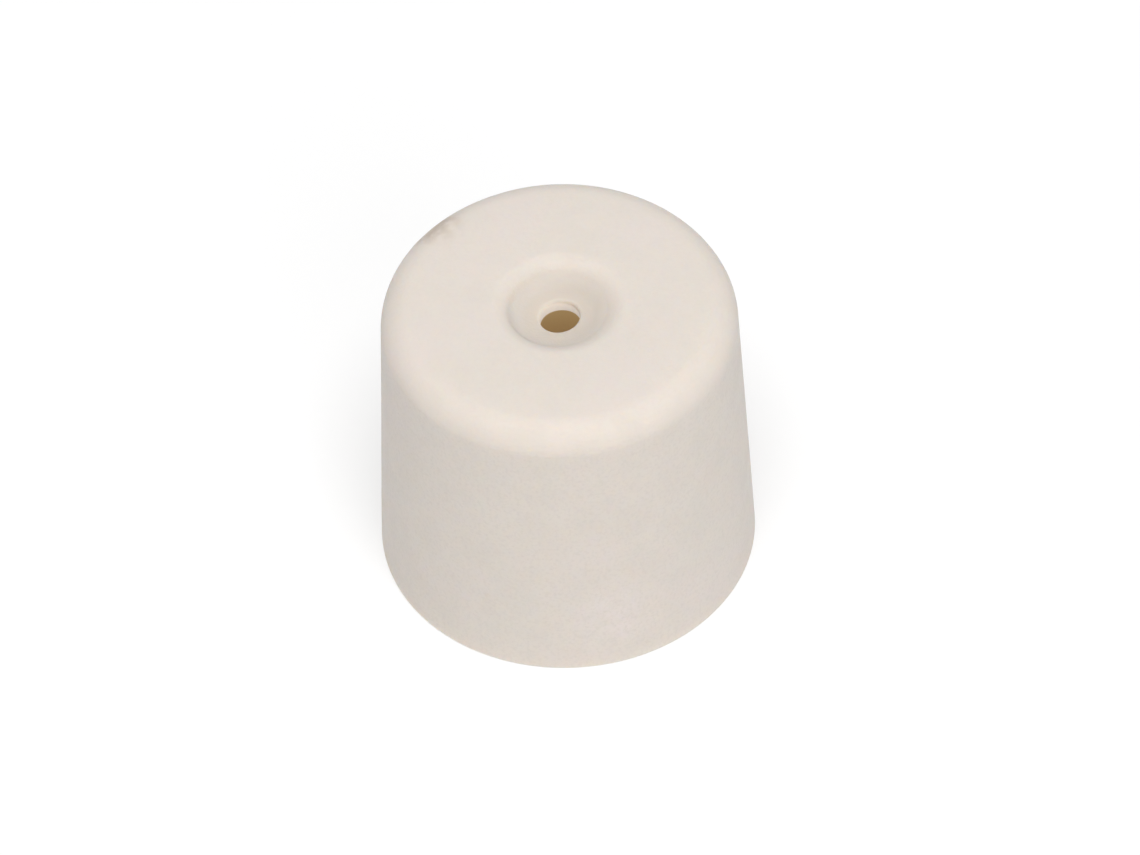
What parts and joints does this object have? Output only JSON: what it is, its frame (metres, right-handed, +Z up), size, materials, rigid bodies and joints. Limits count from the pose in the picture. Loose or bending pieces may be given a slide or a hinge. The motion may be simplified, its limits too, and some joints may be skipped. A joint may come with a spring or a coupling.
{
  "type": "rubber door stop",
  "caption": "Low tapered off-white rubber door stop with a rounded shoulder, a dished screw hole in its flat top and a steel washer in its bore.",
  "frame": {"origin": "centre of the flat base, on the surface that the stop stands on", "axes": "+Z up along the axis of the body and of its screw hole; the stop is round, so X and Y are free"},
  "size_m": [0.04, 0.04, 0.036],
  "materials": {
    "rubber": "matt, faintly mottled off-white moulding",
    "washer_steel": "dull zinc-plated steel"
  },
  "bodies": {
    "root": {"rubber_body": "rubber", "seat_washer": "washer_steel"}
  },
  "joints": []
}
